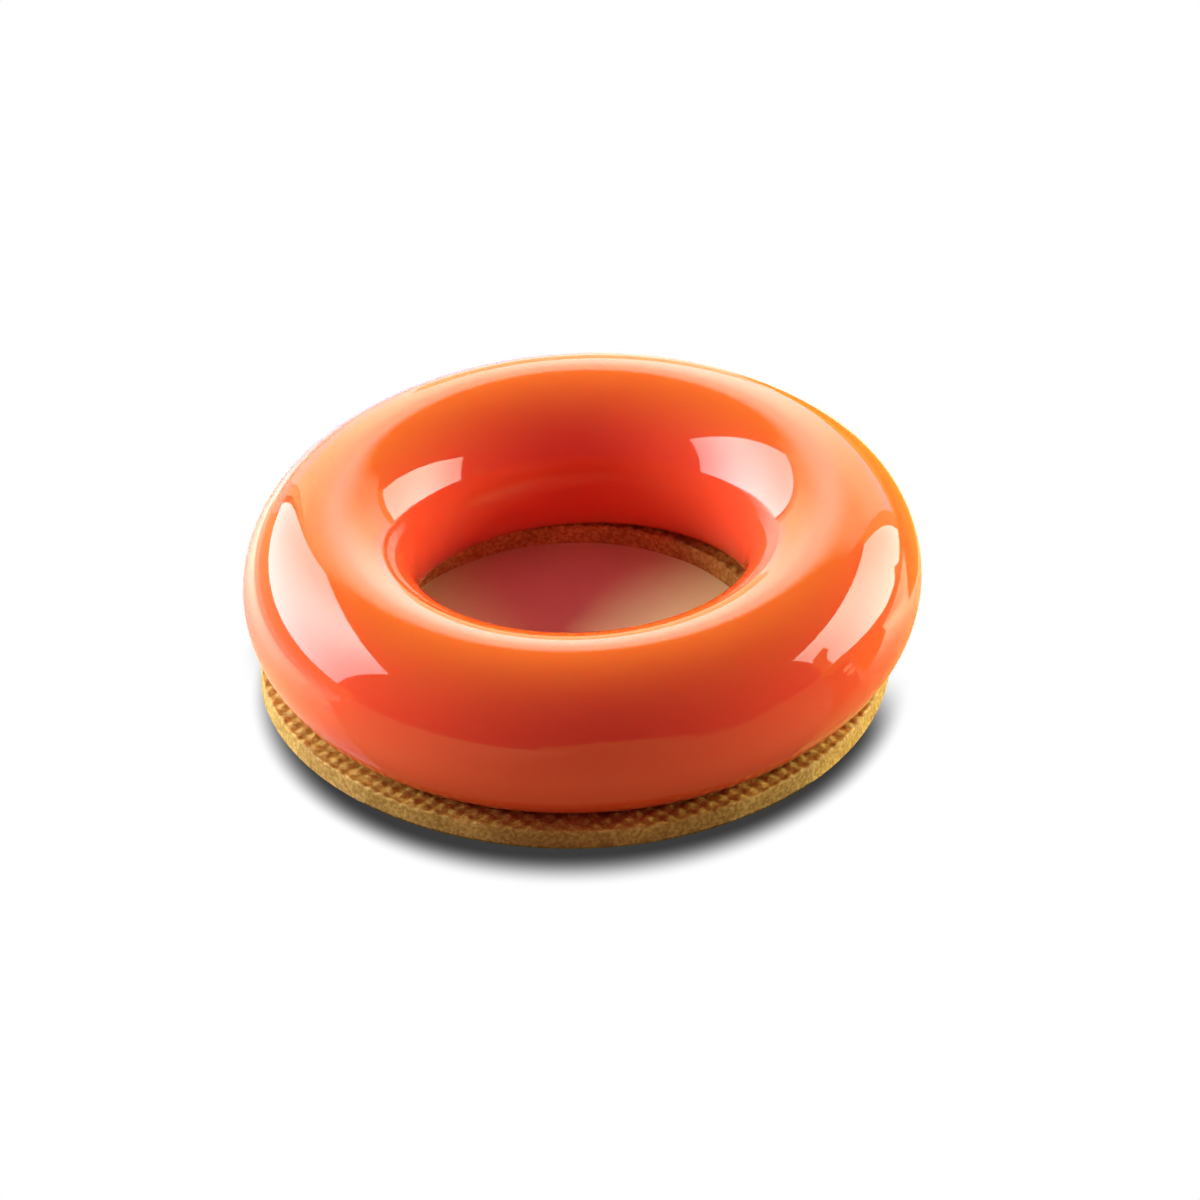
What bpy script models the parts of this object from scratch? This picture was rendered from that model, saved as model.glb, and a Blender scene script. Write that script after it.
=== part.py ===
"""A ring-shaped entremet: a glazed mousse ring on a flat shortbread ring.

Two solids stand on Z = 0, with the axis of the mousse ring on the Z axis:
  biscuit_base  the baked shortbread ring, a disc cut from a rolled sheet with a hole cut in it
  glazed_ring   the moulded mousse ring under its mirror glaze

All sizes are in metres, and +Z is up.
"""

import math

import bpy
from mathutils import Vector

# The mousse ring: a torus whose round section is cut flat where it lies on the biscuit.
RING_OUTER_RADIUS = 0.0900
SECTION_RADIUS = 0.0234
SECTION_CENTRE_ABOVE_FOOT = 0.0198
FOOT_FILLET = 0.0012

# The shortbread ring. It lies a little off the mousse ring's axis, towards -X and -Y, and its
# hole was cut by hand, further towards -X and +Y.
BISCUIT_RADIUS = 0.0843
BISCUIT_THICKNESS = 0.0058
BISCUIT_CENTRE = Vector((-0.0024, -0.0026, BISCUIT_THICKNESS / 2))
BISCUIT_EDGE_ROUND = 0.0006
HOLE_RADIUS = 0.0512
HOLE_CENTRE = Vector((-0.0044, 0.0026, BISCUIT_THICKNESS / 2))

# Space left between the mousse and the biscuit, so that the two solids don't touch.
LAYING_GAP = 0.0003

# Fineness of the turned surfaces.
TURN_STEPS = 96
SECTION_ARC_STEPS = 32
FILLET_STEPS = 3
EDGE_ROUND_STEPS = 2
SHARPEST_SMOOTH_ANGLE = math.radians(30)
WELD_DISTANCE = 0.00001

SECTION_CENTRE_RADIUS = RING_OUTER_RADIUS - SECTION_RADIUS


def clear_scene():
    """Removes whatever the file opened with."""
    for item in list(bpy.data.objects):
        bpy.data.objects.remove(item, do_unlink=True)


def new_collection(name):
    """A collection for the finished pieces or for the cutters."""
    made = bpy.data.collections.new(name)
    bpy.context.scene.collection.children.link(made)
    return made


def finish(name, colour, roughness, subsurface=0.0, coat=0.0):
    """A Principled material for one of the two foods."""
    material = bpy.data.materials.new(name)
    material.use_nodes = True
    shader = material.node_tree.nodes["Principled BSDF"]
    shader.inputs["Base Color"].default_value = (*colour, 1.0)
    shader.inputs["Roughness"].default_value = roughness
    shader.inputs["Metallic"].default_value = 0.0
    shader.inputs["Subsurface Weight"].default_value = subsurface
    shader.inputs["Coat Weight"].default_value = coat
    material.diffuse_color = (*colour, 1.0)
    return material


def arc(centre, radius, start, end, steps):
    """Points (r, z) on an arc, from angle start to angle end in radians, both ends included."""
    return [
        (
            centre[0] + radius * math.cos(start + (end - start) * i / steps),
            centre[1] + radius * math.sin(start + (end - start) * i / steps),
        )
        for i in range(steps + 1)
    ]


def mousse_section():
    """Outline of the mousse ring's section, clockwise from the inner end of its round.

    It goes over the top, down the outside and back along the foot. The foot's corners are
    fillets that touch both the flat foot and the section's circle from inside.
    """
    centre = (SECTION_CENTRE_RADIUS, SECTION_CENTRE_ABOVE_FOOT)
    fillet_centre_drop = SECTION_CENTRE_ABOVE_FOOT - FOOT_FILLET
    fillet_centre_reach = math.sqrt((SECTION_RADIUS - FOOT_FILLET) ** 2 - fillet_centre_drop**2)
    join = math.atan2(-fillet_centre_drop, fillet_centre_reach)
    outer_fillet = (centre[0] + fillet_centre_reach, FOOT_FILLET)
    inner_fillet = (centre[0] - fillet_centre_reach, FOOT_FILLET)
    down = -math.pi / 2
    outline = arc(centre, SECTION_RADIUS, math.pi - join, join, SECTION_ARC_STEPS)
    outline += arc(outer_fillet, FOOT_FILLET, join, down, FILLET_STEPS)[1:]
    outline += arc(inner_fillet, FOOT_FILLET, down, -math.pi - join, FILLET_STEPS)[:-1]
    return outline


def cylinder(name, radius, height, centre, collection):
    """An upright cylinder, moved from the active collection to the one it belongs in."""
    bpy.ops.mesh.primitive_cylinder_add(
        vertices=TURN_STEPS, radius=radius, depth=height, end_fill_type="NGON", location=centre
    )
    made = bpy.context.active_object
    made.name = name
    made.data.name = name
    for holder in list(made.users_collection):
        holder.objects.unlink(made)
    collection.objects.link(made)
    return made


def biscuit_ring(name, material, collection, cutters):
    """The shortbread: a disc with a round hole, and its cut edges a little rounded."""
    disc = cylinder(name, BISCUIT_RADIUS, BISCUIT_THICKNESS, BISCUIT_CENTRE, collection)
    disc.data.materials.append(material)
    cutter = cylinder("hole_cutter", HOLE_RADIUS, 3 * BISCUIT_THICKNESS, HOLE_CENTRE, cutters)
    cutter.hide_render = True
    cutter.display_type = "WIRE"
    cut = disc.modifiers.new("hole", "BOOLEAN")
    cut.operation = "DIFFERENCE"
    cut.object = cutter
    edge = disc.modifiers.new("edge_round", "BEVEL")
    edge.width = BISCUIT_EDGE_ROUND
    edge.segments = EDGE_ROUND_STEPS
    edge.limit_method = "ANGLE"
    edge.angle_limit = SHARPEST_SMOOTH_ANGLE
    disc.data.shade_smooth()
    disc.data.set_sharp_from_angle(angle=SHARPEST_SMOOTH_ANGLE)
    return disc


def turned_ring(name, outline, material, collection, location):
    """A closed section turned once round the Z axis with a Screw modifier."""
    mesh = bpy.data.meshes.new(name)
    corners = [(r, 0.0, z) for r, z in outline]
    edges = [(i, (i + 1) % len(corners)) for i in range(len(corners))]
    mesh.from_pydata(corners, edges, [])
    mesh.materials.append(material)
    ring = bpy.data.objects.new(name, mesh)
    ring.location = location
    collection.objects.link(ring)
    turn = ring.modifiers.new("turn", "SCREW")
    turn.axis = "Z"
    turn.angle = 2 * math.pi
    turn.steps = TURN_STEPS
    turn.render_steps = TURN_STEPS
    turn.use_merge_vertices = True
    turn.merge_threshold = WELD_DISTANCE
    turn.use_smooth_shade = True
    return ring


def main():
    clear_scene()
    collection = new_collection("ring_entremet")
    cutters = new_collection("cutters")
    shortbread = finish("baked_shortbread", (0.56, 0.33, 0.12), roughness=0.85)
    glaze = finish("orange_mirror_glaze", (0.90, 0.12, 0.018), roughness=0.05, subsurface=0.2, coat=1.0)
    biscuit_ring("biscuit_base", shortbread, collection, cutters)
    foot = Vector((0.0, 0.0, BISCUIT_THICKNESS + LAYING_GAP))
    turned_ring("glazed_ring", mousse_section(), glaze, collection, foot)


main()
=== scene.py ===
"""A glazed ring entremet: a mousse ring under mirror glaze, on an embossed shortbread ring.

Lengths are in metres. The mousse ring's axis is the Z axis, and the table's top is at Z = 0.
"""
import math
import bpy
from mathutils import Matrix, Vector, noise


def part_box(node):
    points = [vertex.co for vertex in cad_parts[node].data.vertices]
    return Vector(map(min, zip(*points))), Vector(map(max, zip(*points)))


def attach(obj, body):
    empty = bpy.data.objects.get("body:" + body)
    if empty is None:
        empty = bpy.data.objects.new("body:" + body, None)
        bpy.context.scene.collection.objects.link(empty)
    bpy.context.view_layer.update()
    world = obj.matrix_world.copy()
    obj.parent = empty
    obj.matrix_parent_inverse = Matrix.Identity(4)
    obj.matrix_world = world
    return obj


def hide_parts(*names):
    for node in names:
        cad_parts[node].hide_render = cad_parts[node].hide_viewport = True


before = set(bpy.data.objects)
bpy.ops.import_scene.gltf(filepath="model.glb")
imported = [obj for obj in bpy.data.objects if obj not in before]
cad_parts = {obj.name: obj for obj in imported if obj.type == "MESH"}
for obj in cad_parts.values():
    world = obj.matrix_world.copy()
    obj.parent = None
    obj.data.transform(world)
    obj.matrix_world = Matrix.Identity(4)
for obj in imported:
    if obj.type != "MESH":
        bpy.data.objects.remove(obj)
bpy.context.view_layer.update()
scene = bpy.context.scene

# ---------------------------------------------------------------- camera
# A long lens looks down on the ring from the front, held level to within three degrees.
# It aims a little to the side of the ring's centre and above its foot.
CAMERA_ELEVATION = math.radians(35.14)
CAMERA_DISTANCE = 2.0985
CAMERA_ROLL = math.radians(-2.62)
CAMERA_LENS = 235.8
CAMERA_SENSOR = 36.0
AIM_RIGHT = 0.0038
AIM_UP = 0.01495

forward = Vector((0.0, math.cos(CAMERA_ELEVATION), -math.sin(CAMERA_ELEVATION)))
level_right = Vector((1.0, 0.0, 0.0))
level_up = level_right.cross(forward)
frame_right = math.cos(CAMERA_ROLL) * level_right + math.sin(CAMERA_ROLL) * level_up
frame_up = math.cos(CAMERA_ROLL) * level_up - math.sin(CAMERA_ROLL) * level_right
camera_place = -CAMERA_DISTANCE * forward
look = (AIM_RIGHT * frame_right + AIM_UP * frame_up - camera_place).normalized()
camera_right = look.cross(frame_up).normalized()
camera_up = camera_right.cross(look)
camera_data = bpy.data.cameras.new("camera")
camera_data.lens = CAMERA_LENS
camera_data.sensor_width = CAMERA_SENSOR
camera = bpy.data.objects.new("camera", camera_data)
camera.matrix_world = Matrix.Translation(camera_place) @ Matrix(
    (camera_right, camera_up, -look)).transposed().to_4x4()
scene.collection.objects.link(camera)
scene.camera = camera

# ---------------------------------------------------------------- shortbread ring
# The ring of shortbread under the mousse, cut by hand from a sheet that was rolled on an
# embossed mat: its top is a square grid of round dots, and its walls are plain cut crumb.
# It was baked flat and laid under the mousse a little off centre.
HOLE_CENTRE = Vector((-0.0044, 0.0026, 0.0))
HOLE_RADIUS = 0.0512
EMBOSS_PITCH_ALONG = 0.00397
EMBOSS_PITCH_ACROSS = 0.00377
EMBOSS_PHASE_ALONG = 0.0002
EMBOSS_PHASE_ACROSS = 0.0010
EMBOSS_ANGLE = math.radians(45.0)
EMBOSS_DEPTH = 0.00076
EMBOSS_SHARPNESS = 0.75
EMBOSS_DOT_SHARE = 0.55
EMBOSS_EDGE_SHARE = 0.65
EMBOSS_FADE = 0.0022
EMBOSS_SINK_POWER = 3
WEAR_SHARE = 0.3
WEAR_PER_METRE = 90.0
EDGE_ROUND_TOP = 0.0006
EDGE_ROUND_BOTTOM = 0.0003
CRUMB_RELIEF = 0.00014
CRUMB_PER_METRE = 750.0
WALL_WAVE = 0.00022
WAVE_PER_METRE = 60.0
WALL_REACH = 0.003
CUT_INSET = 0.00054
CUT_OVAL = 0.00058
CUT_OVAL_TURN = math.radians(50.7)
CUT_CORNERS = 0.00068
CUT_CORNERS_TURN = math.radians(-142.6)
BISCUIT_TURN_STEPS = 1440
INNER_BAND = 0.0060
OUTER_BAND = 0.0085
INNER_BAND_ROWS = 13
OUTER_BAND_ROWS = 19
HIDDEN_ROWS = 4
WALL_ROWS = 7
ROUND_ROWS = 3
UNDERSIDE_ROWS = 3

biscuit_low, biscuit_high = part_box("biscuit_base")
biscuit_centre = (Vector(biscuit_low) + Vector(biscuit_high)) / 2
biscuit_centre.z = 0.0
BISCUIT_RADIUS = (biscuit_high[0] - biscuit_low[0]) / 2
BISCUIT_THICKNESS = biscuit_high[2] - biscuit_low[2]


def emboss(x, y):
    """Height of the dot pattern at a point of the sheet, from 0 in a valley to 1 on a dot."""
    along = (x - y) * math.sin(EMBOSS_ANGLE)
    across = (x + y) * math.cos(EMBOSS_ANGLE)
    row = 0.5 + 0.5 * math.cos(2 * math.pi * (along - EMBOSS_PHASE_ALONG) / EMBOSS_PITCH_ALONG)
    line = 0.5 + 0.5 * math.cos(2 * math.pi * (across - EMBOSS_PHASE_ACROSS) / EMBOSS_PITCH_ACROSS)
    dots = (row * line) ** EMBOSS_SHARPNESS
    return EMBOSS_DOT_SHARE * dots + (1 - EMBOSS_DOT_SHARE) * (row + line) / 2


def smooth(value):
    """Soft step from 0 to 1 as the value goes from 0 to 1."""
    value = min(max(value, 0.0), 1.0)
    return value * value * (3 - 2 * value)


def spaced(start, end, count):
    """Evenly spaced values from the start up to, but without, the end."""
    return [start + (end - start) * i / count for i in range(count)]


def rounded(inset, height, radius, start, end, count):
    """Points (inset, height) on a round about a centre in a section, without the last one."""
    turns = spaced(start, end, count)
    return [(inset + radius * math.cos(t), height + radius * math.sin(t)) for t in turns]


def biscuit_outline():
    """The biscuit's section as rows (share, inset, height, part), clockwise from inside the hole.

    The share goes from 0 at the hole's cut to 1 at the outer cut, and the inset is the way
    outwards from there.
    """
    top, upper, lower = BISCUIT_THICKNESS, EDGE_ROUND_TOP, EDGE_ROUND_BOTTOM
    right, up, left = 0.0, math.pi / 2, math.pi
    rows = []
    rows += [(0, 0.0, z, "wall") for z in spaced(lower, top - upper, WALL_ROWS)]
    rows += [(0, i, z, "edge") for i, z in rounded(upper, top - upper, upper, left, up, ROUND_ROWS)]
    rows += [(0, i, top, "top") for i in spaced(upper, INNER_BAND, INNER_BAND_ROWS)]
    for share in spaced(0.0, 1.0, HIDDEN_ROWS):
        rows.append((share, INNER_BAND - share * (INNER_BAND + OUTER_BAND), top, "top"))
    rows += [(1, -i, top, "top") for i in spaced(OUTER_BAND, upper, OUTER_BAND_ROWS)]
    rows += [(1, i, z, "edge") for i, z in rounded(-upper, top - upper, upper, up, right, ROUND_ROWS)]
    rows += [(1, 0.0, z, "wall") for z in spaced(top - upper, lower, WALL_ROWS)]
    rows += [(1, i, z, "foot") for i, z in rounded(-lower, lower, lower, right, -up, ROUND_ROWS)]
    for share in spaced(1.0, 0.0, UNDERSIDE_ROWS):
        rows.append((share, lower - share * 2 * lower, 0.0, "foot"))
    rows += [(0, i, z, "foot") for i, z in rounded(lower, lower, lower, 3 * up, left, ROUND_ROWS)]
    return rows


def turned_mesh(name, rows, steps, place):
    """Closed ring of quads through the rows of a section, each point put where place() says."""
    vertices = []
    for step in range(steps):
        angle = 2 * math.pi * step / steps
        vertices += [place(row, angle) for row in rows]
    count = len(rows)
    faces = []
    for step in range(steps):
        here, after = step * count, (step + 1) % steps * count
        for i in range(count):
            j = (i + 1) % count
            faces.append((here + i, here + j, after + j, after + i))
    mesh = bpy.data.meshes.new(name)
    mesh.from_pydata(vertices, [], faces)
    mesh.update()
    mesh.shade_smooth()
    piece = bpy.data.objects.new(name, mesh)
    scene.collection.objects.link(piece)
    return piece


def dot_strength(share, inset):
    """How much of the dot pattern is left near a cut, where the rolled sheet gave way."""
    if share not in (0, 1):
        return 1.0
    return EMBOSS_EDGE_SHARE + (1 - EMBOSS_EDGE_SHARE) * smooth(abs(inset) / EMBOSS_FADE)


def patchy(point, per_metre):
    """Uneven value from 0 to 1 that changes over a surface, so many times a metre."""
    return 0.5 + 0.5 * noise.noise(point * per_metre)


def biscuit_point(row, angle):
    """Where a row of the biscuit's section lies at an angle round the ring.

    The rim is cut slightly out of round, the dots stand out of the top, worn in places, and the
    cut walls and the crumb are a little uneven.
    """
    share, inset, height, part = row
    outward = Vector((math.cos(angle), math.sin(angle), 0.0))
    cut = CUT_OVAL * math.cos(2 * angle + CUT_OVAL_TURN)
    cut += CUT_CORNERS * math.cos(3 * angle + CUT_CORNERS_TURN) - CUT_INSET
    at_rim = biscuit_centre + outward * (BISCUIT_RADIUS + min(cut, 0.0))
    at_hole = HOLE_CENTRE + outward * HOLE_RADIUS
    point = at_hole.lerp(at_rim, share) + outward * inset
    point.z = height
    if part == "foot":
        return point
    level = height / BISCUIT_THICKNESS
    wear = 1 - WEAR_SHARE + WEAR_SHARE * patchy(point, WEAR_PER_METRE)
    drop = EMBOSS_DEPTH * wear * (1 - emboss(point.x, point.y))
    crumb = CRUMB_RELIEF * patchy(point, CRUMB_PER_METRE)
    near_wall = smooth(1 - abs(inset) / WALL_REACH) if share in (0, 1) else 0.0
    shift = WALL_WAVE * patchy(point, WAVE_PER_METRE) + crumb
    point += outward * shift * near_wall * (1.0 if share == 0 else -1.0)
    point.z -= drop * dot_strength(share, inset) * level ** EMBOSS_SINK_POWER
    if part != "wall":
        point.z -= crumb
    return point


def drift_group():
    """Slow drift of tone over a baked or poured surface, as a mask around 0.5."""
    group = bpy.data.node_groups.new("tone_drift", "ShaderNodeTree")
    group.interface.new_socket("Size", in_out="INPUT", socket_type="NodeSocketFloat")
    group.interface.new_socket("Detail", in_out="INPUT", socket_type="NodeSocketFloat")
    group.interface.new_socket("Mask", in_out="OUTPUT", socket_type="NodeSocketFloat")
    nodes, links = group.nodes, group.links
    entry = nodes.new("NodeGroupInput")
    leave = nodes.new("NodeGroupOutput")
    coordinates = nodes.new("ShaderNodeTexCoord")
    per_size = nodes.new("ShaderNodeMath")
    per_size.operation = "DIVIDE"
    per_size.inputs[0].default_value = 1.0
    texture = nodes.new("ShaderNodeTexNoise")
    links.new(entry.outputs["Size"], per_size.inputs[1])
    links.new(coordinates.outputs["Object"], texture.inputs["Vector"])
    links.new(per_size.outputs[0], texture.inputs["Scale"])
    links.new(entry.outputs["Detail"], texture.inputs["Detail"])
    links.new(texture.outputs["Fac"], leave.inputs["Mask"])
    return group


tone_drift = drift_group()


def place_drift(nodes, size, detail):
    """The drift group placed in a material, with patches of about the given size."""
    node = nodes.new("ShaderNodeGroup")
    node.node_tree = tone_drift
    node.inputs["Size"].default_value = size
    node.inputs["Detail"].default_value = detail
    return node


def ramp_between(nodes, low, high, low_colour, high_colour):
    """Colour ramp that goes from one colour to the other between two values."""
    ramp = nodes.new("ShaderNodeValToRGB")
    ramp.color_ramp.elements[0].position = low
    ramp.color_ramp.elements[0].color = low_colour
    ramp.color_ramp.elements[1].position = high
    ramp.color_ramp.elements[1].color = high_colour
    return ramp


def multiplied(nodes, links, factor, first, second):
    """Colour node: first times second, as far as the factor says."""
    node = nodes.new("ShaderNodeMix")
    node.data_type = "RGBA"
    node.blend_type = "MULTIPLY"
    for name, value in (("Factor", factor), ("A", first), ("B", second)):
        if isinstance(value, (float, tuple)):
            node.inputs[name].default_value = value
        else:
            links.new(value, node.inputs[name])
    return node.outputs["Result"]


SHORTBREAD_BROWN = (0.45, 0.268, 0.060, 1.0)
SHORTBREAD_GOLD = (0.60, 0.385, 0.100, 1.0)
# The valley tint is partly browner bake and partly painted shade in the hollows.
VALLEY_BAKE_AND_SHADE_TINT = (0.84, 0.70, 0.47, 1.0)
# Painted light: tints by which way the crumb faces, to offset the redder light on the top.
PRESSED_TOP_LIGHT_TINT = (1.03, 1.10, 0.80, 1.0)
CUT_WALL_LIGHT_TINT = (1.0, 0.96, 0.95, 1.0)
GRAIN_DARK = (0.76, 0.66, 0.50, 1.0)
GRAIN_LIGHT = (1.18, 1.20, 1.32, 1.0)
BAKE_PATCH_SIZE = 0.011
GRAIN_SIZE = 0.0011
GRAIN_RELIEF = 0.0004


def shortbread_material():
    """Baked crumb: gold with browner patches, valleys darker with bake and painted shade, and a fine
    grain.
    """
    material = bpy.data.materials.new("baked_shortbread")
    material.use_nodes = True
    nodes, links = material.node_tree.nodes, material.node_tree.links
    shader = nodes["Principled BSDF"]
    shader.inputs["Roughness"].default_value = 0.62
    shader.inputs["Specular IOR Level"].default_value = 0.35
    shader.inputs["Subsurface Weight"].default_value = 0.15
    shader.inputs["Subsurface Radius"].default_value = (1.0, 0.55, 0.25)
    shader.inputs["Subsurface Scale"].default_value = 0.0012
    slow = place_drift(nodes, BAKE_PATCH_SIZE, detail=2.0)
    baked = ramp_between(nodes, 0.35, 0.65, SHORTBREAD_BROWN, SHORTBREAD_GOLD)
    links.new(slow.outputs["Mask"], baked.inputs["Fac"])
    # Valleys of the dot pattern are darker, partly browner bake and partly painted shade in the
    # hollows: their depth is stored on the mesh.
    depth = nodes.new("ShaderNodeAttribute")
    depth.attribute_name = "emboss"
    browned_and_shaded = multiplied(nodes, links, depth.outputs["Fac"], baked.outputs["Color"], VALLEY_BAKE_AND_SHADE_TINT)
    # Painted light: the upward-facing top is tinted yellower than the cut walls, to offset the redder
    # light the glaze throws on it.
    split = nodes.new("ShaderNodeSeparateXYZ")
    links.new(nodes.new("ShaderNodeTexCoord").outputs["Normal"], split.inputs["Vector"])
    facing_light_tint = ramp_between(nodes, 0.3, 0.8, CUT_WALL_LIGHT_TINT, PRESSED_TOP_LIGHT_TINT)
    links.new(split.outputs["Z"], facing_light_tint.inputs["Fac"])
    light_evened = multiplied(nodes, links, 1.0, browned_and_shaded, facing_light_tint.outputs["Color"])
    grain = place_drift(nodes, GRAIN_SIZE, detail=4.0)
    grain_tint = ramp_between(nodes, 0.39, 0.62, GRAIN_DARK, GRAIN_LIGHT)
    links.new(grain.outputs["Mask"], grain_tint.inputs["Fac"])
    grained = multiplied(nodes, links, 1.0, light_evened, grain_tint.outputs["Color"])
    links.new(grained, shader.inputs["Base Color"])
    bump = nodes.new("ShaderNodeBump")
    bump.inputs["Strength"].default_value = 0.5
    bump.inputs["Distance"].default_value = GRAIN_RELIEF
    links.new(grain.outputs["Mask"], bump.inputs["Height"])
    links.new(bump.outputs["Normal"], shader.inputs["Normal"])
    return material


biscuit_rows = biscuit_outline()
biscuit = turned_mesh("shortbread_ring", biscuit_rows, BISCUIT_TURN_STEPS, biscuit_point)
depth_mark = biscuit.data.attributes.new("emboss", "FLOAT", "POINT")
valley_depths = []
for vertex, row in zip(biscuit.data.vertices, biscuit_rows * BISCUIT_TURN_STEPS):
    kept = dot_strength(row[0], row[1]) if row[3] in ("top", "edge") else 0.0
    valley_depths.append(kept * (1 - emboss(vertex.co.x, vertex.co.y)))
depth_mark.data.foreach_set("value", valley_depths)
biscuit.data.materials.append(shortbread_material())
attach(biscuit, "root")
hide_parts("biscuit_base")

# ---------------------------------------------------------------- glazed mousse ring
# A mousse ring frozen in a ring mould, turned out and flooded with orange mirror glaze, which
# set to an even glossy skin over the mousse and ends in a small round foot on the biscuit.
SECTION_RADIUS = 0.0234
SECTION_CENTRE_ABOVE_FOOT = 0.0198
FOOT_ROUND = 0.0012
RING_TURN_STEPS = 480
SECTION_STEPS = 176
FOOT_ROUND_STEPS = 6
FOOT_FLAT_STEPS = 4
POUR_WAVE = 0.00010
POUR_PER_METRE = 28.0
POUR_FADE_HEIGHT = 0.006
# Painted shade: the wall colour is darker and redder than the top colour, standing in for shade.
GLAZE_LIT_TOP_COLOUR = (0.73, 0.142, 0.013, 1.0)
GLAZE_SHADED_WALL_COLOUR = (0.81, 0.078, 0.027, 1.0)
GLAZE_DRIFT_TINT = (0.97, 0.92, 0.94, 1.0)
GLAZE_DRIFT_SIZE = 0.03
GLAZE_SHADE_FALLOFF = 4.0

ring_low, ring_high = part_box("glazed_ring")
RING_OUTER_RADIUS = (ring_high[0] - ring_low[0]) / 2
SECTION_CENTRE_RADIUS = RING_OUTER_RADIUS - SECTION_RADIUS
ring_foot = ring_low[2]


def ring_outline():
    """Outline of the mousse ring's section: over the top, down the outside and back underneath."""
    centre, foot, down = SECTION_CENTRE_RADIUS, FOOT_ROUND, -math.pi / 2
    drop = SECTION_CENTRE_ABOVE_FOOT - foot
    reach = math.sqrt((SECTION_RADIUS - foot) ** 2 - drop ** 2)
    join = math.atan2(-drop, reach)
    rows = rounded(centre, SECTION_CENTRE_ABOVE_FOOT, SECTION_RADIUS, math.pi - join, join,
                   SECTION_STEPS)
    rows += rounded(centre + reach, foot, foot, join, down, FOOT_ROUND_STEPS)
    rows += [(centre + offset, 0.0) for offset in spaced(reach, -reach, FOOT_FLAT_STEPS)]
    rows += rounded(centre - reach, foot, foot, down, -math.pi - join, FOOT_ROUND_STEPS)
    return rows


def ring_point(row, angle):
    """Where a row of the section lies at an angle: even, but for the faint waves of the pour."""
    radius, height = row
    point = Vector((radius * math.cos(angle), radius * math.sin(angle), ring_foot + height))
    out = Vector((math.cos(angle), math.sin(angle), 0.0)) * (radius - SECTION_CENTRE_RADIUS)
    out.z = height - SECTION_CENTRE_ABOVE_FOOT
    wave = POUR_WAVE * patchy(point, POUR_PER_METRE) * smooth(height / POUR_FADE_HEIGHT)
    return point - out.normalized() * wave


def combined(nodes, links, operation, first, second):
    """Value of a sum, product or other operation on two values, each a socket or a number."""
    node = nodes.new("ShaderNodeMath")
    node.operation = operation
    for socket, value in zip(node.inputs, (first, second)):
        if isinstance(value, (int, float)):
            socket.default_value = value
        else:
            links.new(value, socket)
    return node.outputs["Value"]


def mixed_colour(nodes, links, factor, first, second):
    """Colour that goes from the first to the second as the factor goes from 0 to 1."""
    node = nodes.new("ShaderNodeMix")
    node.data_type = "RGBA"
    links.new(factor, node.inputs["Factor"])
    for name, value in (("A", first), ("B", second)):
        if isinstance(value, tuple):
            node.inputs[name].default_value = value
        else:
            links.new(value, node.inputs[name])
    return node.outputs["Result"]


def glaze_material():
    """Mirror glaze over mousse: smooth, glossy and slightly translucent."""
    material = bpy.data.materials.new("orange_mirror_glaze")
    material.use_nodes = True
    nodes, links = material.node_tree.nodes, material.node_tree.links
    shader = nodes["Principled BSDF"]
    shader.inputs["Roughness"].default_value = 0.035
    shader.inputs["IOR"].default_value = 1.45
    shader.inputs["Subsurface Weight"].default_value = 0.6
    shader.inputs["Subsurface Radius"].default_value = (1.0, 0.15, 0.08)
    shader.inputs["Subsurface Scale"].default_value = 0.014
    # Painted shade: by which way it faces, the walls get a redder, darker colour than the top.
    split = nodes.new("ShaderNodeSeparateXYZ")
    links.new(nodes.new("ShaderNodeTexCoord").outputs["Normal"], split.inputs["Vector"])
    upward = combined(nodes, links, "MAXIMUM", split.outputs["Z"], 0.0)
    lit_top = combined(nodes, links, "POWER", upward, GLAZE_SHADE_FALLOFF)
    colour = mixed_colour(nodes, links, lit_top, GLAZE_SHADED_WALL_COLOUR, GLAZE_LIT_TOP_COLOUR)
    slow = place_drift(nodes, GLAZE_DRIFT_SIZE, detail=2.0)
    drifting = multiplied(nodes, links, slow.outputs["Mask"], colour, GLAZE_DRIFT_TINT)
    links.new(drifting, shader.inputs["Base Color"])
    return material


ring = turned_mesh("glazed_mousse_ring", ring_outline(), RING_TURN_STEPS, ring_point)
ring.data.materials.append(glaze_material())
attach(ring, "root")
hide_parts("glazed_ring")

# ---------------------------------------------------------------- white table
# A white table. The camera sees it plain white, with a painted contact shadow that falls forward,
# because the light comes from behind. In the hole, and where only the glaze sees it, it is a
# lit, tinted board that glows beside and behind the ring.
TABLE_SIZE = 8.0
TABLE_IN_HOLE = (0.92, 0.93, 0.42, 1.0)
TABLE_LEFT = (0.60, 0.56, 0.46, 1.0)
TABLE_RIGHT = (0.80, 0.73, 0.26, 1.0)
TABLE_HOLE_MARGIN = 0.002
TABLE_HOLE_BLEND = 0.002
TABLE_LEFT_END = -0.05
TABLE_RIGHT_START = 0.05
LEFT_GLOW = (2.0, 2.4, 1.9)
LEFT_GLOW_START = 0.095
LEFT_GLOW_FULL = 0.165
NEAR_LEFT_GLOW = (0.4, 0.75, 0.1)
NEAR_LEFT_START = 0.07
NEAR_LEFT_FULL = 0.11
NEAR_LEFT_BACK = 0.03
NEAR_LEFT_FRONT = -0.03
RIGHT_GLOW = (2.8, 3.9, 2.5)
RIGHT_GLOW_START = 0.090
RIGHT_GLOW_FULL = 0.20
RIGHT_GLOW_BACK = 0.012
RIGHT_GLOW_BACK_END = 0.055
RIGHT_GLOW_BACK_SHARE = 0.4
SIDE_GLOW_BACK = 0.15
SIDE_GLOW_BACK_END = 0.35
SIDE_GLOW_FRONT = 0.02
SIDE_GLOW_FRONT_END = -0.07
SIDE_GLOW_FRONT_SHARE = 0.3
BACK_GLOW = (0.5, 0.75, 1.6)
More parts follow.
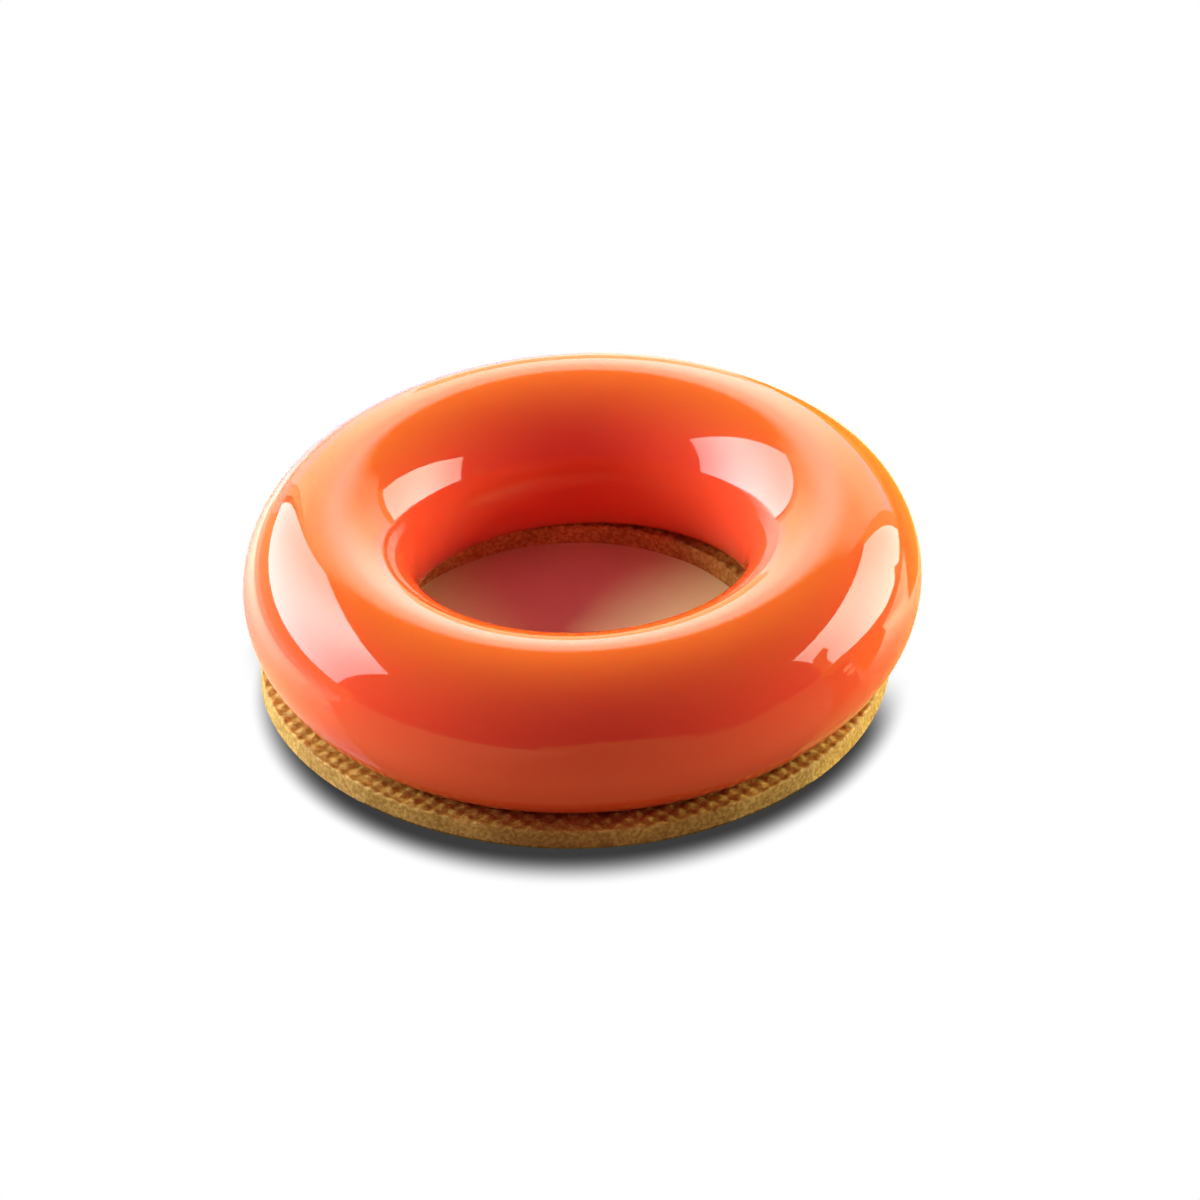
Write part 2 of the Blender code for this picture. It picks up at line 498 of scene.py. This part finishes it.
BACK_GLOW_HALF_WIDTH = 0.05
BACK_GLOW_SIDE = 0.20
BACK_GLOW_START = 0.11
BACK_GLOW_FULL = 0.17
# The contact shadow set by these numbers is painted on the table, not cast.
SHADOW_SHIFT = Vector((0.0008, -0.0090, 0.0))
SHADOW_INNER = 0.0780
SHADOW_OUTER = 0.0884
SHADOW_FRONT_INNER = 0.0748
SHADOW_FRONT_OUTER = 0.0925
SHADOW_FRONT_START = -0.07
SHADOW_FRONT_FULL = -0.12
SHADOW_TONE = 0.243
SHADOW_BACK_TONE = 0.80
SHADOW_BACK_REACH = 0.006
SHADOW_BACK_START = -0.010
SHADOW_BACK_FULL = 0.030
SHADOW_RIGHT_START = 0.04
SHADOW_RIGHT_FULL = 0.08
SHADOW_RIGHT_FRONT = -0.046
SHADOW_RIGHT_BACK = -0.012
DISPLAY_GAMMA = 2.2


def polygon(name, corners):
    """A flat stage piece with one face."""
    data = bpy.data.meshes.new(name)
    data.from_pydata(corners, [], [tuple(range(len(corners)))])
    piece = bpy.data.objects.new(name, data)
    scene.collection.objects.link(piece)
    return piece


def mapped(nodes, links, value, start, end, low, high):
    """Smooth change from low to high as the value goes from start to end."""
    node = nodes.new("ShaderNodeMapRange")
    node.interpolation_type = "SMOOTHSTEP"
    for name, number in zip(("From Min", "From Max", "To Min", "To Max"), (start, end, low, high)):
        if isinstance(number, (int, float)):
            node.inputs[name].default_value = number
        else:
            links.new(number, node.inputs[name])
    links.new(value, node.inputs["Value"])
    return node.outputs["Result"]


def distance_from(nodes, links, where, centre):
    """Distance of a point of the table from a centre on it."""
    shifted = nodes.new("ShaderNodeVectorMath")
    shifted.operation = "SUBTRACT"
    shifted.inputs[1].default_value = centre
    links.new(where, shifted.inputs[0])
    length = nodes.new("ShaderNodeVectorMath")
    length.operation = "LENGTH"
    links.new(shifted.outputs["Vector"], length.inputs[0])
    return length.outputs["Value"]


def tinted(nodes, links, colour, amount):
    """The colour times an amount, which may be over one."""
    node = nodes.new("ShaderNodeVectorMath")
    node.operation = "SCALE"
    node.inputs["Vector"].default_value = colour
    links.new(amount, node.inputs["Scale"])
    return node.outputs["Vector"]


def added(nodes, links, first, second):
    """Sum of two colours of light."""
    node = nodes.new("ShaderNodeVectorMath")
    links.new(first, node.inputs[0])
    links.new(second, node.inputs[1])
    return node.outputs["Vector"]


def table_glow(nodes, links, where):
    """Light that the table gives to the glaze: beside the ring on either side, and behind it."""
    split = nodes.new("ShaderNodeSeparateXYZ")
    links.new(where, split.inputs["Vector"])
    x, y = split.outputs["X"], split.outputs["Y"]
    backwards = mapped(nodes, links, y, SIDE_GLOW_BACK, SIDE_GLOW_BACK_END, 1.0, 0.0)
    forwards = mapped(nodes, links, y, SIDE_GLOW_FRONT, SIDE_GLOW_FRONT_END,
                      1.0, SIDE_GLOW_FRONT_SHARE)
    beside = combined(nodes, links, "MULTIPLY", backwards, forwards)
    dimmed = mapped(nodes, links, y, RIGHT_GLOW_BACK, RIGHT_GLOW_BACK_END,
                    1.0, RIGHT_GLOW_BACK_SHARE)
    beside_right = combined(nodes, links, "MULTIPLY", beside, dimmed)
    right = mapped(nodes, links, x, RIGHT_GLOW_START, RIGHT_GLOW_FULL, 0.0, beside_right)
    left = mapped(nodes, links, x, -LEFT_GLOW_START, -LEFT_GLOW_FULL, 0.0, beside)
    in_front = mapped(nodes, links, y, NEAR_LEFT_BACK, NEAR_LEFT_FRONT, 0.0, 1.0)
    near_left = mapped(nodes, links, x, -NEAR_LEFT_START, -NEAR_LEFT_FULL, 0.0, in_front)
    sideways = combined(nodes, links, "ABSOLUTE", x, 0.0)
    behind = mapped(nodes, links, y, BACK_GLOW_START, BACK_GLOW_FULL, 0.0, 1.0)
    middle = mapped(nodes, links, sideways, BACK_GLOW_HALF_WIDTH, BACK_GLOW_SIDE, behind, 0.0)
    glow = added(nodes, links, tinted(nodes, links, RIGHT_GLOW, right),
                 tinted(nodes, links, LEFT_GLOW, left))
    glow = added(nodes, links, glow, tinted(nodes, links, NEAR_LEFT_GLOW, near_left))
    return added(nodes, links, glow, tinted(nodes, links, BACK_GLOW, middle))


def painted_contact_shadow(nodes, links, where):
    """Painted contact shadow: how light the table looks, dark in front of and beside the biscuit, a
    little behind it.
    """
    split = nodes.new("ShaderNodeSeparateXYZ")
    links.new(where, split.inputs["Vector"])
    x, y = split.outputs["X"], split.outputs["Y"]
    paler = mapped(nodes, links, y, SHADOW_RIGHT_FRONT, SHADOW_RIGHT_BACK, SHADOW_TONE, 1.0)
    darkest = mapped(nodes, links, x, SHADOW_RIGHT_START, SHADOW_RIGHT_FULL, SHADOW_TONE, paler)
    from_shadow = distance_from(nodes, links, where, biscuit_centre + SHADOW_SHIFT)
    inner = mapped(nodes, links, y, SHADOW_FRONT_START, SHADOW_FRONT_FULL,
                   SHADOW_INNER, SHADOW_FRONT_INNER)
    outer = mapped(nodes, links, y, SHADOW_FRONT_START, SHADOW_FRONT_FULL,
                   SHADOW_OUTER, SHADOW_FRONT_OUTER)
    tone = mapped(nodes, links, from_shadow, inner, outer, darkest, 1.0)
    deepest = mapped(nodes, links, y, SHADOW_BACK_START, SHADOW_BACK_FULL, 1.0, SHADOW_BACK_TONE)
    from_biscuit = distance_from(nodes, links, where, biscuit_centre)
    behind = mapped(nodes, links, from_biscuit, BISCUIT_RADIUS, BISCUIT_RADIUS + SHADOW_BACK_REACH,
                    deepest, 1.0)
    tone = combined(nodes, links, "MULTIPLY", tone, behind)
    return combined(nodes, links, "POWER", tone, DISPLAY_GAMMA)


def table_material():
    """Lit, tinted board in the hole and for the glaze; white with a painted contact shadow elsewhere.
    """
    material = bpy.data.materials.new("white_table")
    material.use_nodes = True
    nodes, links = material.node_tree.nodes, material.node_tree.links
    shader = nodes["Principled BSDF"]
    shader.inputs["Roughness"].default_value = 0.6
    shader.inputs["Specular IOR Level"].default_value = 0.0
    shader.inputs["Emission Strength"].default_value = 1.0
    where = nodes.new("ShaderNodeTexCoord").outputs["Object"]
    seen = nodes.new("ShaderNodeLightPath").outputs["Is Camera Ray"]
    from_hole = distance_from(nodes, links, where, HOLE_CENTRE)
    outside_from = HOLE_RADIUS + TABLE_HOLE_MARGIN
    outside = mapped(nodes, links, from_hole, outside_from, outside_from + TABLE_HOLE_BLEND, 0.0, 1.0)
    painted = combined(nodes, links, "MULTIPLY", outside, seen)
    split = nodes.new("ShaderNodeSeparateXYZ")
    links.new(where, split.inputs["Vector"])
    rightness = mapped(nodes, links, split.outputs["X"], TABLE_LEFT_END, TABLE_RIGHT_START, 0.0, 1.0)
    across = mixed_colour(nodes, links, rightness, TABLE_LEFT, TABLE_RIGHT)
    lit = mixed_colour(nodes, links, outside, TABLE_IN_HOLE, across)
    black = (0.0, 0.0, 0.0, 1.0)
    links.new(mixed_colour(nodes, links, painted, lit, black), shader.inputs["Base Color"])
    tone = combined(nodes, links, "MULTIPLY", painted_contact_shadow(nodes, links, where), painted)
    shown = tinted(nodes, links, (1.0, 1.0, 1.0), tone)
    glow = table_glow(nodes, links, where)
    links.new(mixed_colour(nodes, links, seen, glow, shown), shader.inputs["Emission Color"])
    return material


half = TABLE_SIZE / 2
table = polygon("table_top", [(-half, -half, 0), (half, -half, 0), (half, half, 0), (-half, half, 0)])
table.data.materials.append(table_material())

# ---------------------------------------------------------------- cards on and round the table
# Coloured cards that show only in the glaze. A warm pale one lies on the table in front of the
# ring with a darker one on it, warm ones lie and stand at the left, and low red and golden ones
# with two small pale ones lie at the right. Others stand behind the ring as low bands.
CARD_LIFT = 0.0005
CARD_LOWEST = 0.001
FOOT = -5.0
RING_REACH = 0.09
RING_WAIST_HEIGHT = 0.026
FRONT_GLOW = 0.62
FRONT_LEFT_GLOW = 1.00
FRONT_RIGHT_GLOW = 0.72
FRONT_LEFT_START = -0.02
FRONT_LEFT_FULL = -0.10
FRONT_RIGHT_START = 0.04
FRONT_RIGHT_FULL = 0.10
# Painted shadow: the front card's glow is dimmed close to the ring, up to these distances.
FRONT_NEAR = 0.080
FRONT_FAR = 0.115
FRONT_SHADOW_SHARE = 0.2


def card(name, corners, colour, strength):
    """A flat glowing card that shows only in what reflects it, evenly or as strength() says."""
    material = bpy.data.materials.new(name)
    material.use_nodes = True
    nodes, links = material.node_tree.nodes, material.node_tree.links
    nodes.remove(nodes["Principled BSDF"])
    glow = nodes.new("ShaderNodeEmission")
    glow.inputs["Color"].default_value = (*colour, 1.0)
    if callable(strength):
        links.new(strength(nodes, links), glow.inputs["Strength"])
    else:
        glow.inputs["Strength"].default_value = strength
    links.new(glow.outputs["Emission"], nodes["Material Output"].inputs["Surface"])
    piece = polygon(name, corners)
    piece.data.materials.append(material)
    piece.visible_camera = False


def flat(*corners, lift=CARD_LIFT):
    """Corners of a card that lies on the table."""
    return [(x, y, lift) for x, y in corners]


def around(distance, *corners):
    """Corners of an upright card from (azimuth, elevation) pairs, as seen from the ring."""
    placed = []
    for azimuth, elevation in corners:
        a = math.radians(azimuth)
        rise = (distance - RING_REACH) * math.tan(math.radians(elevation))
        height = max(RING_WAIST_HEIGHT + rise, CARD_LOWEST)
        placed.append((distance * math.sin(a), distance * math.cos(a), height))
    return placed


def beside_ring(x, *corners):
    """Corners of an upright card that stands at a distance x beside the ring."""
    return [(x, y, z) for y, z in corners]


def front_strength(nodes, links):
    """Glow of the front card: dimmed close to the ring as a painted shadow, brighter beside it than in
    front.
    """
    where = nodes.new("ShaderNodeTexCoord").outputs["Object"]
    split = nodes.new("ShaderNodeSeparateXYZ")
    links.new(where, split.inputs["Vector"])
    x = split.outputs["X"]
    left = mapped(nodes, links, x, FRONT_LEFT_START, FRONT_LEFT_FULL, FRONT_GLOW, FRONT_LEFT_GLOW)
    side = mapped(nodes, links, x, FRONT_RIGHT_START, FRONT_RIGHT_FULL, left, FRONT_RIGHT_GLOW)
    from_ring = distance_from(nodes, links, where, (0.0, 0.0, 0.0))
    # Painted shadow: the glow is dimmed close to the ring, where the ring shades the table.
    shadowed = mapped(nodes, links, from_ring, FRONT_NEAR, FRONT_FAR, FRONT_SHADOW_SHARE, 1.0)
    return combined(nodes, links, "MULTIPLY", side, shadowed)


card("front_card", flat((-3, -0.40), (-1.4, -0.20), (-0.375, -0.094), (-0.25, -0.081),
                        (-0.17, -0.060), (-0.09, -0.062), (0.09, -0.062), (0.3, -0.100),
                        (3, -0.7), (3, -3), (-3, -3)),
     (1.0, 0.93, 0.44), front_strength)
card("front_dark_card", flat((0.26, -0.285), (0.42, -0.37), (3, -1.6), (3, -3), (1.2, -3),
                             (0.36, -0.58), (0.26, -0.345), lift=2 * CARD_LIFT),
     (1.0, 0.2, 0.6), 0.25)
card("front_low_card", around(1.0, (-164.5, -1), (-164.5, 4.2), (-176, 8), (177, 10), (165, 8.5),
                              (155, 4.5), (149, 1.4), (149, -1)), (1.0, 0.97, 0.40), 0.66)
card("left_card", flat((-0.21, -0.070), (-0.222, -0.03), (-0.215, 0.02), (-0.205, 0.06),
                       (-0.18, 0.12), (-0.149, 0.19), (-0.193, 0.265), (-0.24, 0.35), (-0.30, 0.22),
                       (-0.365, 0.08), (-0.375, -0.092)), (1.0, 0.78, 0.56), 2.25)
card("left_far_card", flat((-0.375, -0.092), (-0.365, 0.08), (-0.30, 0.22), (-0.24, 0.35),
                           (-0.33, 0.485), (-0.71, 1.06), (-1.2, 0.8), (-1.4, -0.195)),
     (1.0, 0.62, 0.30), 1.65)
card("left_low_strip", around(1.0, (-104, FOOT), (-104, 5.5), (-66, 5.3), (-32, 5.3), (-32, FOOT)),
     (1.0, 0.60, 0.18), 1.6)
card("left_back_low", around(1.2, (-33, FOOT), (-33, 5.2), (-25, 5.2), (-25, FOOT)),
     (1.0, 0.74, 0.70), 1.9)
card("right_back_card", flat((0.110, 0.058), (0.098, 0.10), (0.097, 0.15), (0.094, 0.25),
                             (0.084, 0.38), (0.12, 0.60), (0.22, 1.2), (0.95, 0.85),
                             (0.50, 0.42), (0.35, 0.26), (0.26, 0.155), (0.205, 0.090),
                             (0.17, 0.052), (0.138, 0.022), (0.118, 0.038)),
     (1.0, 0.56, 0.03), 1.2)
card("right_strip_card", flat((0.285, 0.032), (0.31, 0.08), (0.34, 0.135), (0.38, 0.225),
                              (0.42, 0.33), (0.95, 0.85), (1.33, 0.35)), (1.0, 0.72, 0.09), 1.2)
card("right_gold_card", flat((0.120, -0.040), (0.145, -0.024), (0.167, -0.011), (0.188, 0.003),
                             (0.285, 0.032), (1.33, 0.35), (1.35, -0.04), (0.35, -0.046),
                             (0.21, -0.050), (0.17, -0.048)), (0.8, 0.76, 0.06), 1.15)
card("right_red_card", flat((0.105, -0.046), (0.17, -0.048), (0.21, -0.050), (0.35, -0.046),
                            (1.35, -0.04), (1.35, -0.35), (0.30, -0.100), (0.09, -0.062)),
     (1.0, 0.64, 0.18), 0.6)
card("right_pale_card", flat((0.215, -0.050), (0.30, -0.047), (0.31, -0.066), (0.22, -0.064),
                             lift=2 * CARD_LIFT), (1.0, 0.80, 0.40), 3.2)
card("right_small_card", flat((0.16, -0.050), (0.195, -0.046), (0.20, -0.056), (0.165, -0.059),
                              lift=2 * CARD_LIFT), (1.0, 0.76, 0.34), 2.6)
card("middle_card", around(1.15, (-9, 3.0), (-9, 12.5), (-7.5, 14.5), (-4, 15.6), (0, 15.6),
                           (3, 14), (6, 11), (9, 7), (11.5, 2.5), (12.5, -1), (10, -1.5),
                           (6, 0.5), (1, 2.2), (-4, 3.0)), (1.0, 0.86, 0.50), 2.1)
card("right_back_low", around(1.1, (12.5, FOOT), (12.5, 1.2), (15, 2.2), (20, 5.2), (25, 5.2),
                              (30, 4.2), (35, 2.4), (40, 0.2), (44, -0.8), (49, -1.6),
                              (49, FOOT)), (1.0, 0.88, 0.14), 1.4)

# ---------------------------------------------------------------- soft boxes and lit paper
# Two big soft boxes, one on either side of the ring and a little behind it, and a pale sweep of
# lit paper between them. Warm cards fill the gaps and stand at the feet. Nothing bright hangs
# above the ring, so the glaze keeps its deep colour.
LEFT_BOX = {"azimuth": -63.2, "distance": 1.05, "side": 0.023, "width": 1.646,
            "bottom": 0.150, "top": 1.146, "lean": 11.0, "edge": 6.8, "middle": 12.6,
            "peak": 0.54, "colour": (0.76, 0.90, 0.92)}
RIGHT_BOX = {"azimuth": 77.3, "distance": 1.355, "side": -0.190, "width": 1.690,
             "bottom": 0.006, "top": 0.974, "lean": 6.1, "edge": 7.2, "middle": 12.2,
             "peak": 0.44, "colour": (0.80, 0.95, 0.77)}
BOX_HALF = 0.5
SWEEP_DISTANCE = 1.25
SWEEP_LEFT = -0.60
SWEEP_LEFT_TOP = -0.49
SWEEP_RIGHT = 0.98
SWEEP_RIGHT_TOP = 0.94
SWEEP_HEIGHT = 1.34
SWEEP_FADE = 0.33
SWEEP_MIDDLE = 0.07
SWEEP_SPREAD = 0.55
SWEEP_EDGE_GLOW = 3.2
SWEEP_MIDDLE_GLOW = 5.4
SWEEP_FOOT_GLOW = 0.66
SWEEP_FOOT_HEIGHT = 0.45
SWEEP_HIGH_GLOW = 0.72
SWEEP_HIGH_FROM = 0.60
SWEEP_HIGH_ABOVE = 0.90
SWEEP_COLOUR = (0.72, 0.92, 0.88, 1.0)
SWEEP_EDGE_COLOUR = (0.72, 0.84, 0.56, 1.0)
SWEEP_WARM_FROM = 0.14
SWEEP_WARM_ABOVE = 0.34
GAP_CARD_DISTANCE = 1.24
LEFT_GAP_CARD_WIDTH = 0.055


def soft_box(name, box):
    """A flat soft box that faces the ring, leans over it and is brightest near its middle."""
    azimuth = math.radians(box["azimuth"])
    lean = math.radians(box["lean"])
    away = Vector((math.sin(azimuth), math.cos(azimuth), 0.0))
    along = Vector((math.cos(azimuth), -math.sin(azimuth), 0.0))
    upward = Vector((0, 0, 1)) * math.cos(lean) - away * math.sin(lean)
    height = (box["top"] - box["bottom"]) / math.cos(lean)
    top_middle = away * box["distance"] + along * box["side"] + Vector((0, 0, box["top"]))
    back = along.cross(upward)
    if back.dot(away) < 0:
        back = -back
    data = bpy.data.lights.new(name, "AREA")
    data.shape = "RECTANGLE"
    data.size = box["width"]
    data.size_y = height
    data.energy = math.pi * box["width"] * height
    data.color = box["colour"]
    data.use_nodes = True
    nodes, links = data.node_tree.nodes, data.node_tree.links
    across = nodes.new("ShaderNodeSeparateXYZ")
    links.new(nodes.new("ShaderNodeNewGeometry").outputs["Parametric"], across.inputs["Vector"])
    past_peak = combined(nodes, links, "SUBTRACT", across.outputs["X"], box["peak"])
    from_peak = combined(nodes, links, "ABSOLUTE", past_peak, 0.0)
    links.new(mapped(nodes, links, from_peak, 0.0, BOX_HALF, box["middle"], box["edge"]),
              nodes["Emission"].inputs["Strength"])
    light = bpy.data.objects.new(name, data)
    light.matrix_world = Matrix.Translation(top_middle - upward * height / 2) @ Matrix(
        (upward.cross(back), upward, back)).transposed().to_4x4()
    light.visible_camera = False
    scene.collection.objects.link(light)


soft_box("left_soft_box", LEFT_BOX)
soft_box("right_soft_box", RIGHT_BOX)
card("right_box_notch", around(1.15, (53, FOOT), (54.2, 0.8), (55.8, 3.6), (56.6, 3.4),
                               (58.5, 1.2), (60.5, -1.0), (60.5, FOOT)), (1.0, 0.84, 0.20), 1.6)
card("right_box_foot", around(1.15, (62, FOOT), (62, -1.2), (70, -0.6), (75, 0.3), (80, 1.0),
                              (85, 2.3), (90, 4.3), (94, 5.4), (104, 5.4), (104, FOOT)),
     (0.9, 1.00, 0.10), 0.95)
card("right_hook", beside_ring(0.215, (-0.063, 0.108), (-0.075, 0.105), (-0.085, 0.101),
                               (-0.092, 0.093), (-0.095, 0.082), (-0.093, 0.063),
                               (-0.093, 0.050), (-0.073, 0.050), (-0.0755, 0.056),
                               (-0.0757, 0.0715), (-0.071, 0.084), (-0.064, 0.091)),
     (1.0, 0.42, 0.10), 2.1)


def lit_paper_material():
    """Glow of the lit paper: brightest in its middle, dimmer all round, and dark at its top."""
    material = bpy.data.materials.new("lit_paper")
    material.use_nodes = True
    nodes, links = material.node_tree.nodes, material.node_tree.links
    nodes.remove(nodes["Principled BSDF"])
    glow = nodes.new("ShaderNodeEmission")
    split = nodes.new("ShaderNodeSeparateXYZ")
    links.new(nodes.new("ShaderNodeTexCoord").outputs["Object"], split.inputs["Vector"])
    height = split.outputs["Z"]
    fade = mapped(nodes, links, height, SWEEP_HEIGHT, SWEEP_HEIGHT - SWEEP_FADE, 0.0, 1.0)
    low = mapped(nodes, links, height, 0.0, SWEEP_FOOT_HEIGHT, SWEEP_FOOT_GLOW, 1.0)
    high = mapped(nodes, links, height, SWEEP_HIGH_FROM, SWEEP_HIGH_ABOVE, low, SWEEP_HIGH_GLOW)
    past_middle = combined(nodes, links, "SUBTRACT", split.outputs["X"], SWEEP_MIDDLE)
    from_middle = combined(nodes, links, "ABSOLUTE", past_middle, 0.0)
    spread = mapped(nodes, links, from_middle, 0.0, SWEEP_SPREAD, SWEEP_MIDDLE_GLOW, SWEEP_EDGE_GLOW)
    warmest = mapped(nodes, links, height, SWEEP_WARM_FROM, SWEEP_WARM_ABOVE, 0.0, 1.0)
    warm = mapped(nodes, links, from_middle, 0.0, SWEEP_SPREAD, 0.0, warmest)
    links.new(mixed_colour(nodes, links, warm, SWEEP_COLOUR, SWEEP_EDGE_COLOUR),
              glow.inputs["Color"])
    upright = combined(nodes, links, "MULTIPLY", fade, high)
    links.new(combined(nodes, links, "MULTIPLY", upright, spread), glow.inputs["Strength"])
    links.new(glow.outputs["Emission"], nodes["Material Output"].inputs["Surface"])
    return material


sweep = polygon("paper_sweep", [(SWEEP_LEFT, SWEEP_DISTANCE, CARD_LOWEST),
                                (SWEEP_RIGHT, SWEEP_DISTANCE, CARD_LOWEST),
                                (SWEEP_RIGHT_TOP, SWEEP_DISTANCE, SWEEP_HEIGHT),
                                (SWEEP_LEFT_TOP, SWEEP_DISTANCE, SWEEP_HEIGHT)])
sweep.data.materials.append(lit_paper_material())
sweep.visible_camera = False
card("left_gap_card", [(SWEEP_LEFT - LEFT_GAP_CARD_WIDTH, GAP_CARD_DISTANCE, CARD_LOWEST),
                       (SWEEP_LEFT, GAP_CARD_DISTANCE, CARD_LOWEST),
                       (SWEEP_LEFT_TOP, GAP_CARD_DISTANCE, SWEEP_HEIGHT),
                       (SWEEP_LEFT_TOP - LEFT_GAP_CARD_WIDTH, GAP_CARD_DISTANCE, SWEEP_HEIGHT)],
     (1.0, 0.66, 0.38), 2.3)
card("right_gap_card", [(0.97, GAP_CARD_DISTANCE, CARD_LOWEST), (1.13, GAP_CARD_DISTANCE, CARD_LOWEST),
                        (1.10, GAP_CARD_DISTANCE, 1.0), (0.93, GAP_CARD_DISTANCE, 1.0)],
     (0.9, 0.88, 0.24), 1.5)

# ---------------------------------------------------------------- dark room
# The room round the table. It is dim and reddish, so that it shows only faintly in the glaze
# and keeps the shaded front of the ring a deep red.
ROOM_COLOUR = (0.23, 0.04, 0.16, 1.0)

world = bpy.data.worlds.new("room")
scene.world = world
world.use_nodes = True
world.node_tree.nodes["Background"].inputs["Color"].default_value = ROOM_COLOUR
world.node_tree.nodes["Background"].inputs["Strength"].default_value = 1.0
scene.view_settings.view_transform = "Standard"
